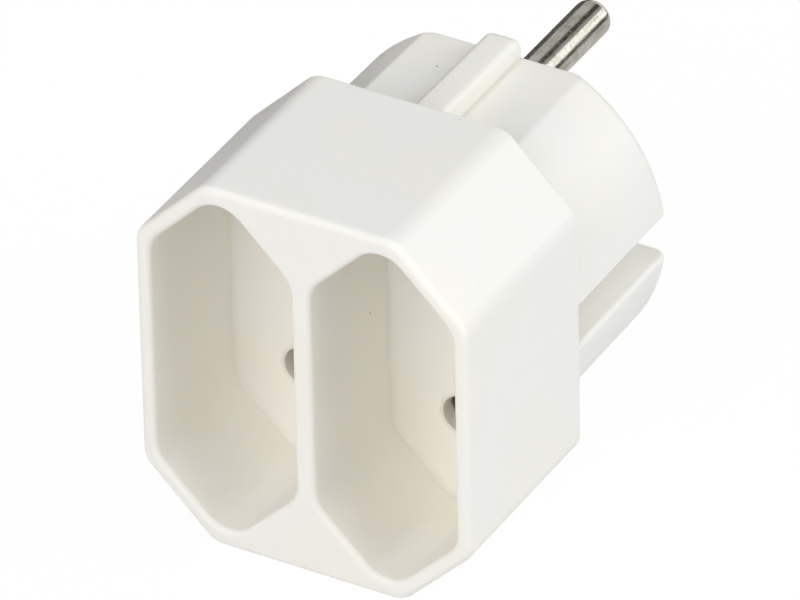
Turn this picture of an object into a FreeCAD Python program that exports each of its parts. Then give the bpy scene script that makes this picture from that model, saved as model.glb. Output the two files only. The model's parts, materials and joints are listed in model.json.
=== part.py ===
import FreeCAD, Part
import math
import os
import Sketcher
from FreeCAD import Placement, Rotation, Vector

# Two-way adapter for flat two-pin plugs, with a round two-pin plug body behind the socket block.
# X runs across the two wells, Y from the socket face towards the pins and Z up, all in millimetres.
# The origin lies under the middle of the adapter, on the level of the block's lower face.

# Driving sizes: name, value, meaning
SIZES = (
    ("well_half_width", 7.75, "well, half width"),
    ("well_half_height", 20.1, "well, middle to the sharp tip of its 45 degree ends"),
    ("well_middle_wall", 2.1, "wall between the two wells"),
    ("well_side_wall", 1.55, "block wall beside a well"),
    ("well_tip_wall", 0.65, "block's top to the sharp tip of a well"),
    ("well_corner_wall", 1.66, "wall between a well and the block's 45 degree corner"),
    ("block_depth", 22.2, "socket block, face to back"),
    ("block_corner_radius", 2.6, "rounding of the block's eight long edges"),
    ("face_edge_radius", 0.7, "rounding around the socket face"),
    ("back_edge_radius", 0.5, "rounding around the block's back"),
    ("block_wall", 2.2, "block wall around the chamber behind the wells"),
    ("well_depth", 15.3, "well, face to floor"),
    ("well_floor_thickness", 1.8, "well floor, up to the chamber behind it"),
    ("well_tip_radius", 3.3, "rounding of the well's pointed ends"),
    ("well_side_radius", 3.5, "rounding where the well's sides meet its ends"),
    ("well_lip_radius", 0.6, "rounding of the well's mouth"),
    ("well_floor_radius", 0.5, "rounding around the well's floor"),
    ("entry_bore", 4.3, "pin entry hole in a well floor"),
    ("entry_spacing", 17.8, "distance between the two entry holes of a well"),
    ("relief_wall", 1.7, "wall left around the hollows between the well ends"),
    ("collar_wall", 1.0, "wall of the guide around a contact's mouth"),
    ("collar_height", 2.0, "height of that guide behind the well floor"),
    ("tower_gap", 6.0, "gap between the tower's two webs"),
    ("tower_web", 1.5, "thickness of a tower web"),
    ("tower_height", 23.0, "height of the tower webs"),
    ("boss_diameter", 6.6, "screw boss in the middle of the tower"),
    ("pilot_bore", 2.4, "pilot hole for the closing screw"),
    ("pilot_depth", 12.5, "depth of the pilot hole"),
    ("rebate_wall", 1.1, "block wall around the closing plate"),
    ("plate_thickness", 2.6, "closing plate of the plug housing"),
    ("seat_clearance", 0.1, "clearance of one housing in the other"),
    ("plug_draft", 0.5, "draft angle of the plug body"),
    ("plug_length", 18.6, "plug body behind the block"),
    ("plug_wall", 1.9, "wall of the plug body"),
    ("rib_edge_radius", 0.8, "rounding of the long edges of the ribs"),
    ("slot_edge_radius", 0.5, "rounding of the long edges of the slots"),
    ("flat_end_radius", 0.8, "rounding of the flats at the plug's end"),
    ("plug_end_wall", 3.0, "end wall that carries the pins"),
    ("rim_radius", 1.4, "rounding of the plug body's end"),
    ("flat_cut", 2.4, "depth of the flats below the round body"),
    ("rib_width", 3.7, "width of the rib along each flat"),
    ("slot_width", 4.4, "width of the earth clip slots at the sides"),
    ("slot_cut", 5.05, "depth of those slots below the round body"),
    ("screw_cup", 9.4, "outside of the cup around the screw head"),
    ("screw_cup_depth", 6.0, "cup floor's inner side, from the plug end face"),
    ("screw_head_recess", 4.0, "depth of the screw head recess"),
    ("pin_diameter", 4.0, "plug pin"),
    ("pin_spacing", 19.0, "distance between the plug pins"),
    ("pin_length", 18.0, "plug pin beyond the end face"),
    ("pin_tip_radius", 1.1, "rounding of the pin's tip"),
    ("pin_collar", 6.0, "collar that locks a pin in the end wall"),
    ("pin_collar_height", 2.0, "thickness of that collar"),
    ("pin_neck", 4.6, "neck of a pin where it passes through the end wall"),
    ("pin_tail", 3.0, "tail that is riveted through the bar"),
    ("pin_head", 4.4, "riveted head of the tail"),
    ("pin_head_height", 0.7, "height of that head"),
    ("pin_head_radius", 0.4, "rounding of that head"),
    ("pin_clearance", 0.05, "clearance of a pin all round in its bores"),
    ("bar_thickness", 0.8, "contact bar"),
    ("bar_width", 5.2, "contact bar, across the pins"),
    ("bar_corner_cut", 1.8, "leg of the contact bar's cut corners"),
    ("bar_overhang", 2.6, "contact bar beyond the middle of a contact"),
    ("contact_sheet", 0.5, "sheet of a spring contact"),
    ("contact_width", 3.6, "width of a contact's legs"),
    ("contact_half_gap", 2.1, "half the gap between the legs at their base"),
    ("contact_half_grip", 1.8, "half the gap where the legs grip a pin"),
    ("contact_half_mouth", 2.5, "half the gap at the mouth"),
    ("contact_grip_depth", 6.0, "well floor to the grip"),
    ("contact_mouth_depth", 2.4, "well floor to the mouth"),
    ("contact_bend", 0.9, "outer radius of the bends at the base"),
    ("contact_clearance", 0.22, "clearance of a contact's mouth in the plug body"),
    ("rivet_shank", 2.0, "contact rivet"),
    ("rivet_bore", 1.2, "bore of the contact rivet"),
    ("rivet_head", 3.4, "heads of the contact rivet"),
    ("rivet_head_height", 0.4, "height of those heads"),
    ("rivet_clearance", 0.05, "clearance of the rivet and the pin tail in the sheets"),
    ("recess_radial_clearance", 0.6, "clearance around a rivet head in its recess"),
    ("recess_depth_clearance", 0.4, "clearance behind that head"),
    ("guide_clearance", 0.4, "clearance of a contact's mouth in its guide"),
    ("prong_clearance", 0.8, "clearance of the tower's prongs beside the screw cup"),
    ("screw_shank", 2.3, "closing screw, core of its thread"),
    ("screw_shank_length", 12.5, "closing screw below its head"),
    ("screw_point_length", 1.6, "closing screw, length of its point"),
    ("screw_head", 5.4, "head of the closing screw"),
    ("screw_head_height", 1.9, "height of that head"),
    ("screw_head_radius", 0.8, "rounding of that head"),
    ("screw_clearance", 0.35, "clearance of the screw in the cup"),
    ("cross_width", 0.9, "cross recess, width of an arm"),
    ("cross_length", 2.9, "cross recess, length across both arms"),
    ("cross_depth", 1.2, "cross recess, depth"),
)

# Sizes across the adapter that follow from the driving ones
CONTACT_X = "(size.well_half_width + size.well_middle_wall / 2)"
CONTACT_Z = "(size.entry_spacing / 2)"
PIN_Z = "(size.pin_spacing / 2)"
BLOCK_HALF_WIDTH = f"({CONTACT_X} + size.well_half_width + size.well_side_wall)"
BLOCK_HALF_HEIGHT = "(size.well_half_height + size.well_tip_wall)"
WELL_CORNER = f"({CONTACT_X} + size.well_half_height)"
CORNER_CUT = f"({BLOCK_HALF_WIDTH} + {BLOCK_HALF_HEIGHT} - {WELL_CORNER} - sqrt(2) * size.well_corner_wall)"
MOUTH_X = f"({CONTACT_X} + size.contact_half_mouth + size.contact_sheet)"
MOUTH_Z = f"({CONTACT_Z} + size.contact_width / 2)"
PLUG_INSIDE = f"(sqrt({MOUTH_X} ^ 2 + {MOUTH_Z} ^ 2) + size.contact_clearance)"
PLUG_RADIUS = f"({PLUG_INSIDE} + size.plug_wall)"
FLAT_HEIGHT = f"({PLUG_RADIUS} - size.flat_cut)"
SLOT_FLOOR = f"({PLUG_RADIUS} - size.slot_cut)"
TOWER_SIDE = "(size.tower_gap / 2 + size.tower_web)"

# Places along Y, counted from the socket face
FLOOR_BACK = "(size.well_depth + size.well_floor_thickness)"
PLATE_FRONT = "(size.block_depth - size.plate_thickness)"
END_FACE = "(size.block_depth + size.plug_length)"
END_WALL = f"({END_FACE} - size.plug_end_wall)"
BAR_FRONT = f"({END_WALL} - size.bar_thickness)"
CONTACT_BASE = f"({BAR_FRONT} - size.contact_sheet)"
CUP_FLOOR = f"({END_FACE} - size.screw_cup_depth)"
HEAD_SEAT = f"({END_FACE} - size.screw_head_recess)"
TIP = f"({END_FACE} + size.pin_length)"

SAME_PLACE = 0.01    # two points nearer than this count as one
SHORTEST_LONG_EDGE = 1.0    # edges along Y from this length count as long edges of a prism


def make_sheet(doc):
    sheet = doc.addObject("Spreadsheet::Sheet", "size")
    for row, (alias, value, meaning) in enumerate(SIZES, start=1):
        sheet.set(f"A{row}", meaning)
        sheet.set(f"B{row}", str(value))
        sheet.setAlias(f"B{row}", alias)
    doc.recompute()
    return sheet


def value_of(obj, expression):
    value = obj.evalExpression(expression)
    return float(getattr(value, "Value", value))


# Bodies and sketches


def make_body(doc, label, across="0", up="0", turn=0):
    """A body placed from the origin; its own Y is counted from the socket face."""
    body = doc.addObject("PartDesign::Body", label)
    body.Label = label
    body.Placement = Placement(Vector(), Rotation(Vector(0, 1, 0), turn))
    body.setExpression("Placement.Base.x", across)
    body.setExpression("Placement.Base.y", f"-{TIP} / 2")
    body.setExpression("Placement.Base.z", f"{BLOCK_HALF_HEIGHT} + {up}")
    return body


def make_sketch(body, name, role, offset="0"):
    """A sketch on one of the body's origin planes, moved along the plane's normal."""
    plane = next(item for item in body.Origin.OriginFeatures if item.Role == role)
    sketch = body.newObject("Sketcher::SketchObject", name)
    sketch.AttachmentSupport = [(plane, "")]
    sketch.MapMode = "FlatFace"
    sketch.setExpression("AttachmentOffset.Base.z", offset)
    return sketch


def across_sketch(body, name, depth="0"):
    """A sketch in X and Z at a depth behind the socket face."""
    return make_sketch(body, name, "XZ_Plane", f"-({depth})")


def side_sketch(body, name):
    """A sketch in X and Y through the middle of the piece."""
    return make_sketch(body, name, "XY_Plane")


def pin_point(sketch, geometry, position, across, up):
    """Ties one point of a sketch to two expressions."""
    for kind, expression in (("DistanceX", across), ("DistanceY", up)):
        value = value_of(sketch, expression)
        index = sketch.addConstraint(Sketcher.Constraint(kind, -1, 1, geometry, position, value))
        sketch.setExpression(f"Constraints[{index}]", expression)


def add_path(sketch, corners):
    """Straight lines through corners given as expressions."""
    points = [Vector(value_of(sketch, x), value_of(sketch, y), 0) for x, y in corners]
    first = sketch.GeometryCount
    for start, end in zip(points, points[1:]):
        sketch.addGeometry(Part.LineSegment(start, end))
    last = sketch.GeometryCount - 1
    for k in range(first, last):
        sketch.addConstraint(Sketcher.Constraint("Coincident", k, 2, k + 1, 1))
    for k, (across, up) in enumerate(corners[:-1]):
        pin_point(sketch, first + k, 1, across, up)
    pin_point(sketch, last, 2, *corners[-1])


def add_outline(sketch, corners):
    """A closed outline of straight lines through corners given as expressions."""
    first = sketch.GeometryCount
    add_path(sketch, corners)
    last = sketch.GeometryCount - 1
    start, end = sketch.Geometry[last].EndPoint, sketch.Geometry[first].StartPoint
    closing = sketch.addGeometry(Part.LineSegment(start, end))
    sketch.addConstraint(Sketcher.Constraint("Coincident", last, 2, closing, 1))
    sketch.addConstraint(Sketcher.Constraint("Coincident", closing, 2, first, 1))


def add_circle(sketch, across, up, diameter):
    centre = Vector(value_of(sketch, across), value_of(sketch, up), 0)
    width = value_of(sketch, diameter)
    index = sketch.addGeometry(Part.Circle(centre, Vector(0, 0, 1), width / 2))
    pin_point(sketch, index, 3, across, up)
    bound = sketch.addConstraint(Sketcher.Constraint("Diameter", index, width))
    sketch.setExpression(f"Constraints[{bound}]", diameter)


def add_box(sketch, left, right, low, high):
    add_outline(sketch, ((left, low), (right, low), (right, high), (left, high)))


def octagon(half_width, half_height, cut):
    """Corners of a rectangle with 45 degree corners, counted anticlockwise."""
    side, top = f"({half_height} - {cut})", f"({half_width} - {cut})"
    quarter = ((half_width, side), (top, half_height))
    corners = []
    for x_sign, z_sign, order in (("", "", 1), ("-", "", -1), ("-", "-", 1), ("", "-", -1)):
        corners += [(x_sign + x, z_sign + z) for x, z in quarter[::order]]
    return corners


def shrunk_octagon(inset):
    """The block's outline, moved inwards all round."""
    cut = f"({CORNER_CUT} - (2 - sqrt(2)) * {inset})"
    return octagon(f"({BLOCK_HALF_WIDTH} - {inset})", f"({BLOCK_HALF_HEIGHT} - {inset})", cut)


# Features


def pad(body, name, sketch, length):
    """Adds material from the sketch towards the pins."""
    feature = body.newObject("PartDesign::Pad", name)
    feature.Profile = sketch
    feature.Reversed = True
    feature.setExpression("Length", length)
    return feature


def pocket(body, name, sketch, length, forward=False):
    """Removes material from the sketch towards the pins, or forward to the socket face."""
    feature = body.newObject("PartDesign::Pocket", name)
    feature.Profile = sketch
    feature.Reversed = forward
    feature.setExpression("Length", length)
    return feature


def revolve(body, name, sketch):
    """Turns a profile about the piece's own Y axis."""
    feature = body.newObject("PartDesign::Revolution", name)
    feature.Profile = sketch
    feature.ReferenceAxis = (sketch, ["V_Axis"])
    feature.Angle = 360
    return feature


def fillet(body, name, base, radius, test):
    """Rounds those edges of the base feature of which every sampled point passes the test."""
    body.Document.recompute()
    names = []
    for k, edge in enumerate(base.Shape.Edges, start=1):
        first, last = edge.ParameterRange
        samples = [edge.valueAt(first + (last - first) * share) for share in (0.02, 0.5, 0.98)]
        if all(test(point) for point in samples):
            names.append(f"Edge{k}")
    if not names:
        raise RuntimeError(f"{name}: no edge to round")
    feature = body.newObject("PartDesign::Fillet", name)
    feature.Base = (base, names)
    feature.setExpression("Radius", radius)
    return feature


def at_depth(depth):
    """Passes points at a depth behind the socket face."""
    return lambda point: abs(point.y - depth) < SAME_PLACE


# Socket housing: octagonal block with two wells, its contact guides and the screw tower


def well_corners(centre):
    """Hexagon with upright sides and 45 degree ends, around a well's middle."""
    shoulder = f"(size.well_half_height - size.well_half_width)"
    right, left = f"({centre} + size.well_half_width)", f"({centre} - size.well_half_width)"
    return (
        (right, shoulder), (centre, "size.well_half_height"), (left, shoulder),
        (left, f"-{shoulder}"), (centre, f"-size.well_half_height"), (right, f"-{shoulder}"),
    )


def make_socket_housing(doc):
    body = make_body(doc, "socket_housing")
    size = doc.getObject("size")

    outline = across_sketch(body, "block_outline")
    add_outline(outline, octagon(BLOCK_HALF_WIDTH, BLOCK_HALF_HEIGHT, CORNER_CUT))
    block = pad(body, "block", outline, "size.block_depth")
    block = round_long_edges(body, "block_corners", block, "size.block_corner_radius")
    for side, centre in (("left", f"-{CONTACT_X}"), ("right", CONTACT_X)):
        block = cut_well(body, side, centre)
    block = fillet(body, "back_edge", block, "size.back_edge_radius", at_depth(size.block_depth))
    block = fillet(body, "face_edge", block, "size.face_edge_radius", on_outside(size))
    fillet(body, "well_lips", block, "size.well_lip_radius", at_depth(0))

    chamber = across_sketch(body, "chamber_outline", "size.block_depth")
    add_outline(chamber, shrunk_octagon("size.block_wall"))
    pocket(body, "chamber", chamber, f"size.block_depth - {FLOOR_BACK}", forward=True)
    rebate = across_sketch(body, "rebate_outline", "size.block_depth")
    add_outline(rebate, shrunk_octagon("size.rebate_wall"))
    pocket(body, "rebate", rebate, "size.plate_thickness", forward=True)

    cut_reliefs(body)
    add_tower(body)
    add_guides(body)

    entries = across_sketch(body, "entry_holes", FLOOR_BACK)
    for across in (f"-{CONTACT_X}", CONTACT_X):
        for up in (f"-{CONTACT_Z}", CONTACT_Z):
            add_circle(entries, across, up, "size.entry_bore")
    pocket(body, "entries", entries, "size.well_floor_thickness + size.well_floor_radius", forward=True)
    return body


def on_outside(size):
    """Passes points of the block's outer edge around the socket face."""
    across, up = value_of(size, BLOCK_HALF_WIDTH), value_of(size, BLOCK_HALF_HEIGHT)
    cut = value_of(size, CORNER_CUT)
    inset = size.block_corner_radius / 10    # the rounded corners leave the sharp outline by less

    def test(point):
        x, z = abs(point.x), abs(point.z)
        corner = (x + z - across - up + cut) / math.sqrt(2)
        return abs(point.y) < SAME_PLACE and max(x - across, z - up, corner) > -inset

    return test


def round_long_edges(body, name, base, radius, test=lambda point: True):
    """Rounds those edges from the front of a prism to its back of which the start passes the test."""
    body.Document.recompute()
    names = []
    for k, edge in enumerate(base.Shape.Edges, start=1):
        start, end = (vertex.Point for vertex in (edge.Vertexes[0], edge.Vertexes[-1]))
        if abs(start.y - end.y) > SHORTEST_LONG_EDGE and test(start):
            names.append(f"Edge{k}")
    feature = body.newObject("PartDesign::Fillet", name)
    feature.Base = (base, names)
    feature.setExpression("Radius", radius)
    return feature


def cut_well(body, side, centre):
    """One hexagonal well with rounded ends, mouth and floor."""
    size = body.Document.getObject("size")
    middle, half_width = value_of(size, centre), size.well_half_width
    outline = across_sketch(body, f"{side}_well_outline")
    add_outline(outline, well_corners(centre))
    cut = pocket(body, f"{side}_well", outline, "size.well_depth")

    def inside(point):
        return abs(point.x - middle) < half_width + SAME_PLACE and point.y < size.well_depth + SAME_PLACE

    def tip(point):
        return inside(point) and abs(point.x - middle) < SAME_PLACE

    def shoulder(point):
        return inside(point) and abs(point.x - middle) > half_width - SAME_PLACE

    cut = round_long_edges(body, f"{side}_well_tips", cut, "size.well_tip_radius", tip)
    cut = round_long_edges(body, f"{side}_well_shoulders", cut, "size.well_side_radius", shoulder)

    def floor(point):
        return inside(point) and abs(point.y - size.well_depth) < SAME_PLACE

    return fillet(body, f"{side}_well_floor_edge", cut, "size.well_floor_radius", floor)


def cut_reliefs(body):
    """Hollows between the well ends, so that the moulding has walls of one thickness."""
    top = f"({BLOCK_HALF_HEIGHT} - size.relief_wall)"
    start = f"(size.well_half_height - {CONTACT_X})"
    low = f"({start} + sqrt(2) * size.relief_wall)"
    reach = f"({top} - {low})"
    reliefs = across_sketch(body, "relief_outlines", FLOOR_BACK)
    for sign in ("", "-"):
        add_outline(reliefs, (
            ("0", f"{sign}{low}"), (reach, f"{sign}{top}"), (f"-{reach}", f"{sign}{top}"),
        ))
    pocket(body, "reliefs", reliefs, f"{FLOOR_BACK} - size.relief_wall", forward=True)


def add_tower(body):
    """Two webs and a screw boss that reach into the plug body and hold the contact bars down."""
    prong_low = "(size.screw_cup / 2 + size.prong_clearance)"
    webs = across_sketch(body, "tower_webs", FLOOR_BACK)
    prongs = across_sketch(body, "tower_prongs", FLOOR_BACK)
    for sign in ("", "-"):
        near, far = f"{sign}(size.tower_gap / 2)", f"{sign}{TOWER_SIDE}"
        add_box(webs, near, far, "-size.tower_height / 2", "size.tower_height / 2")
        for end in ("", "-"):
            add_box(prongs, near, far, f"{end}{prong_low}", f"{end}size.tower_height / 2")
    web_length = f"{CUP_FLOOR} - size.seat_clearance - {FLOOR_BACK}"
    pad(body, "webs", webs, web_length)
    pad(body, "prongs", prongs, f"{BAR_FRONT} - size.seat_clearance - {FLOOR_BACK}")
    boss = across_sketch(body, "boss_outline", FLOOR_BACK)
    add_circle(boss, "0", "0", "size.boss_diameter")
    pad(body, "boss", boss, web_length)
    pilot = across_sketch(body, "pilot_outline", f"{CUP_FLOOR} - size.seat_clearance")
    add_circle(pilot, "0", "0", "size.pilot_bore")
    pocket(body, "pilot", pilot, "size.pilot_depth", forward=True)


def add_guides(body):
    """Rectangular collars that steer the mouths of the four spring contacts."""
    half_x = "(size.contact_half_mouth + size.contact_sheet + size.guide_clearance)"
    half_z = "(size.contact_width / 2 + size.guide_clearance)"
    guides = across_sketch(body, "guide_outlines", FLOOR_BACK)
    for across in (f"-{CONTACT_X}", CONTACT_X):
        for up in (f"-{CONTACT_Z}", CONTACT_Z):
            for wall in ("size.collar_wall", "0"):
                add_box(guides, f"{across} - {half_x} - {wall}", f"{across} + {half_x} + {wall}",
                        f"{up} - {half_z} - {wall}", f"{up} + {half_z} + {wall}")
    pad(body, "guides", guides, "size.collar_height")


# Plug housing: closing plate and the round plug body with its flats, ribs and side slots


def make_plug_housing(doc):
    body = make_body(doc, "plug_housing")
    profile = side_sketch(body, "plug_profile")
    add_outline(profile, (
        ("0", "size.block_depth"), (PLUG_RADIUS, "size.block_depth"),
        (cone_radius("size.plug_length"), END_FACE), ("0", END_FACE),
    ))
    turned = revolve(body, "plug", profile)
    fillet(body, "rim", turned, "size.rim_radius", at_depth(value_of(body, END_FACE)))
    shape_plug(body)
    plate = across_sketch(body, "plate_outline", PLATE_FRONT)
    add_outline(plate, shrunk_octagon("(size.rebate_wall + size.seat_clearance)"))
    pad(body, "plate", plate, "size.plate_thickness")
    hollow_plug(body)
    cut_flats(body, "flats_over_walls")
    cut_slots(body, "slots_through_walls")
    add_screw_cup(body)
    cut_pin_seats(body)
    return body


def cone_radius(length):
    """Radius of the tapered plug body at a distance behind the block."""
    return f"({PLUG_RADIUS} - {length} * tan(size.plug_draft * 1 deg))"


def hollow_plug(body):
    """The inside of the plug body, with walls behind the flats and around the side slots."""
    hollow = across_sketch(body, "hollow_outline", PLATE_FRONT)
    add_circle(hollow, "0", "0", f"2 * {PLUG_INSIDE}")
    hollow_length = f"{END_WALL} - {PLATE_FRONT}"
    pocket(body, "hollow", hollow, hollow_length)

    low, high = f"({FLAT_HEIGHT} - size.plug_wall)", f"({FLAT_HEIGHT} + size.flat_cut / 2)"
    reach = f"sqrt({PLUG_RADIUS} ^ 2 - {FLAT_HEIGHT} ^ 2)"
    behind_slot = f"({SLOT_FLOOR} - size.plug_wall)"
    slot_half = "(size.slot_width / 2 + size.plug_wall)"
    walls = across_sketch(body, "wall_outlines", PLATE_FRONT)
    for sign in ("", "-"):
        add_outline(walls, ((f"-{reach}", f"{sign}{low}"), (reach, f"{sign}{low}"),
                            (f"{reach} / 2", f"{sign}{high}"), (f"-{reach} / 2", f"{sign}{high}")))
        add_box(walls, f"{sign}{behind_slot}", f"{sign}{PLUG_INSIDE}", f"-{slot_half}", slot_half)
    pad(body, "walls", walls, hollow_length)


def shape_plug(body):
    """The outside of the plug body: a rib between two flats above and below, a slot at each side."""
    size = body.Document.getObject("size")
    flat_height, slot_floor = value_of(size, FLAT_HEIGHT), value_of(size, SLOT_FLOOR)
    cut_flats(body, "flats")
    shaped = cut_slots(body, "slots")

    def behind_block(point):
        return point.y > size.block_depth - SAME_PLACE

    def rib_edge(point):
        return behind_block(point) and abs(point.z) > flat_height + size.flat_cut / 2

    def slot_edge(point):
        at_slot = abs(point.z) < size.slot_width / 2 + SAME_PLACE
        return behind_block(point) and at_slot and abs(point.x) > slot_floor + size.slot_cut / 2

    end_face = value_of(size, END_FACE)

    def flat_end(point):
        return abs(point.y - end_face) < SAME_PLACE and abs(abs(point.z) - flat_height) < SAME_PLACE

    shaped = round_long_edges(body, "rib_edges", shaped, "size.rib_edge_radius", rib_edge)
    shaped = round_long_edges(body, "slot_edges", shaped, "size.slot_edge_radius", slot_edge)
    fillet(body, "flat_ends", shaped, "size.flat_end_radius", flat_end)


def cut_flats(body, name):
    """The flats above and below, each side of a rib."""
    outside = f"({PLUG_RADIUS} + size.rim_radius)"
    outlines = across_sketch(body, f"{name}_outlines", "size.block_depth")
    for sign in ("", "-"):
        for side in ("", "-"):
            add_box(outlines, f"{side}(size.rib_width / 2)", f"{side}{outside}",
                    f"{sign}{FLAT_HEIGHT}", f"{sign}{outside}")
    pocket(body, name, outlines, "size.plug_length")


def cut_slots(body, name):
    """The slots at both sides for the earth clips of a wall socket."""
    outside = f"({PLUG_RADIUS} + size.rim_radius)"
    outlines = across_sketch(body, f"{name}_outlines", "size.block_depth")
    for sign in ("", "-"):
        add_box(outlines, f"{sign}{SLOT_FLOOR}", f"{sign}{outside}",
                "-size.slot_width / 2", "size.slot_width / 2")
    return pocket(body, name, outlines, "size.plug_length")


def add_screw_cup(body):
    """A cup in the end wall that sinks the head of the closing screw."""
    cup = across_sketch(body, "cup_outline", CUP_FLOOR)
    add_circle(cup, "0", "0", "size.screw_cup")
    pad(body, "cup", cup, f"{END_WALL} - {CUP_FLOOR}")
    recess = across_sketch(body, "head_recess_outline", END_FACE)
    add_circle(recess, "0", "0", "(size.screw_head + 2 * size.screw_clearance)")
    pocket(body, "head_recess", recess, "size.screw_head_recess", forward=True)
    hole = across_sketch(body, "screw_hole_outline", END_FACE)
    add_circle(hole, "0", "0", "(size.screw_shank + 2 * size.screw_clearance)")
    pocket(body, "screw_hole", hole, "size.screw_cup_depth", forward=True)


def cut_pin_seats(body):
    """Bores and collar seats for the pins, and recesses for the rivet heads."""
    bores = across_sketch(body, "pin_bores_outline", END_FACE)
    seats = across_sketch(body, "collar_seats_outline", END_WALL)
    recesses = across_sketch(body, "rivet_recesses_outline", END_WALL)
    recess = "(size.rivet_head + 2 * size.recess_radial_clearance)"
    for sign in ("", "-"):
        add_circle(bores, "0", f"{sign}{PIN_Z}", "(size.pin_neck + 2 * size.pin_clearance)")
        add_circle(seats, "0", f"{sign}{PIN_Z}", "(size.pin_collar + 2 * size.pin_clearance)")
        for side in ("", "-"):
            add_circle(recesses, f"{side}{CONTACT_X}", f"{sign}{CONTACT_Z}", recess)
    pocket(body, "pin_bores", bores, "size.plug_end_wall", forward=True)
    pocket(body, "collar_seats", seats, "size.pin_collar_height")
    pocket(body, "rivet_recesses", recesses, "size.rivet_head_height + size.recess_depth_clearance")


# Metal pieces: pins, contact bars, spring contacts, rivets and the closing screw


def profile_body(doc, label, corners, across="0", up="0"):
    """A turned piece, its half outline given as distances from the axis and depths."""
    body = make_body(doc, label, across, up)
    sketch = side_sketch(body, f"{label}_profile")
    add_outline(sketch, corners)
    return body, revolve(body, f"{label}_turned", sketch)


def make_pin(doc, label, up):
    """A solid pin: neck and collar in the end wall, tail riveted through the bar."""
    shank, neck, collar = "(size.pin_diameter / 2)", "(size.pin_neck / 2)", "(size.pin_collar / 2)"
    tail, head = "(size.pin_tail / 2)", "(size.pin_head / 2)"
    collar_back = f"({END_WALL} + size.pin_collar_height)"
    head_front = f"({BAR_FRONT} - size.pin_head_height)"
    body, turned = profile_body(doc, label, (
        ("0", head_front), (head, head_front), (head, BAR_FRONT), (tail, BAR_FRONT), (tail, END_WALL),
        (collar, END_WALL), (collar, collar_back), (neck, collar_back), (neck, END_FACE),
        (shank, END_FACE), (shank, TIP), ("0", TIP),
    ), up=up)
    tip, front = value_of(body, TIP), value_of(body, head_front)
    turned = fillet(body, f"{label}_tip", turned, "size.pin_tip_radius", at_depth(tip))
    fillet(body, f"{label}_head", turned, "size.pin_head_radius", at_depth(front))
    return body


def make_bar(doc, label, turn):
    """A flat bar that joins a pin to the contacts on both sides of it."""
    body = make_body(doc, label, turn=turn)
    middle = f"(({PIN_Z} + {CONTACT_Z}) / 2)"
    end, cut = f"({CONTACT_X} + size.bar_overhang)", "size.bar_corner_cut"
    top, low = f"({middle} + size.bar_width / 2)", f"({middle} - size.bar_width / 2)"
    outline = across_sketch(body, f"{label}_outline", BAR_FRONT)
    add_outline(outline, (
        (end, low), (end, f"({top} - {cut})"), (f"({end} - {cut})", top),
        (f"-({end} - {cut})", top), (f"-{end}", f"({top} - {cut})"), (f"-{end}", low),
    ))
    pad(body, f"{label}_sheet", outline, "size.bar_thickness")
    holes = across_sketch(body, f"{label}_holes_outline", BAR_FRONT)
    add_circle(holes, "0", PIN_Z, "(size.pin_tail + 2 * size.rivet_clearance)")
    for side in ("", "-"):
        add_circle(holes, f"{side}{CONTACT_X}", CONTACT_Z, "(size.rivet_shank + 2 * size.rivet_clearance)")
    pocket(body, f"{label}_holes", holes, "size.bar_thickness")
    return body


def make_contact(doc, label, across, up):
    """A spring contact: one bent strip with a riveted base and two legs that grip a pin."""
    body = make_body(doc, label, across, up)
    grip = "(size.well_depth + size.contact_grip_depth)"
    mouth = "(size.well_depth + size.contact_mouth_depth)"
    leg = (
        ("size.contact_half_mouth", mouth), ("size.contact_half_grip", grip),
        ("size.contact_half_gap", CONTACT_BASE),
    )
    back = (
        ("(size.contact_half_gap + size.contact_sheet)", BAR_FRONT),
        ("(size.contact_half_grip + size.contact_sheet)", grip),
        ("(size.contact_half_mouth + size.contact_sheet)", mouth),
    )
    half = leg[::-1] + back[::-1]
    mirrored = tuple((f"-{x}", y) for x, y in half[::-1])
    strip = side_sketch(body, f"{label}_strip")
    add_outline(strip, half + mirrored)
    sheet = body.newObject("PartDesign::Pad", f"{label}_sheet")
    sheet.Profile = strip
    sheet.Midplane = True
    sheet.setExpression("Length", "size.contact_width")

    back_face = value_of(body, BAR_FRONT)
    base_half = value_of(body, "size.contact_half_gap + size.contact_sheet")

    def base_corner(point):
        return abs(point.y - back_face) < SAME_PLACE and abs(point.x) > base_half - SAME_PLACE

    fillet(body, f"{label}_bends", sheet, "size.contact_bend", base_corner)
    hole = across_sketch(body, f"{label}_hole_outline", CONTACT_BASE)
    add_circle(hole, "0", "0", "(size.rivet_shank + 2 * size.rivet_clearance)")
    pocket(body, f"{label}_hole", hole, "size.contact_sheet")
    return body


def make_rivet(doc, label, across, up):
    """A hollow rivet that joins a spring contact to the bar."""
    bore, shank, head = "(size.rivet_bore / 2)", "(size.rivet_shank / 2)", "(size.rivet_head / 2)"
    front = f"({CONTACT_BASE} - size.rivet_head_height)"
    back = f"({END_WALL} + size.rivet_head_height)"
    body, _ = profile_body(doc, label, (
        (bore, front), (head, front), (head, CONTACT_BASE), (shank, CONTACT_BASE),
        (shank, END_WALL), (head, END_WALL), (head, back), (bore, back),
    ), across, up)
    return body


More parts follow.
